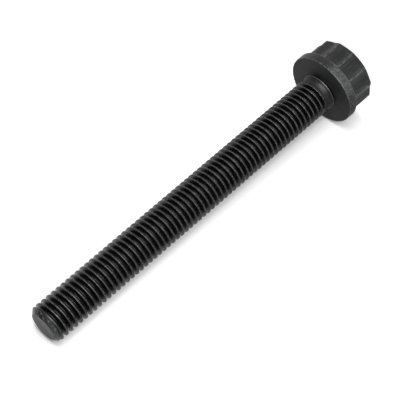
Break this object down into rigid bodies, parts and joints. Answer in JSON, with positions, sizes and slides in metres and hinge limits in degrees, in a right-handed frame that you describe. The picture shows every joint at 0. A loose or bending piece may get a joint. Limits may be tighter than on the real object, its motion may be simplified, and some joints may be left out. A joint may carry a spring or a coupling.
{
  "type": "cylinder head bolt",
  "caption": "Long black steel cylinder head bolt with a twelve-point flange head, a collar under the head and a coarse right-hand thread to a chamfered tip.",
  "frame": {"origin": "centre of the flat top of the head, which the bolt stands on", "axes": "+Z along the bolt's axis, from the head to the tip"},
  "size_m": [0.0197, 0.0196, 0.105],
  "materials": {
    "black_oxide_steel": "satin black oxide, worn lighter on the edges"
  },
  "bodies": {
    "root": {"bolt": "black_oxide_steel"}
  },
  "joints": []
}
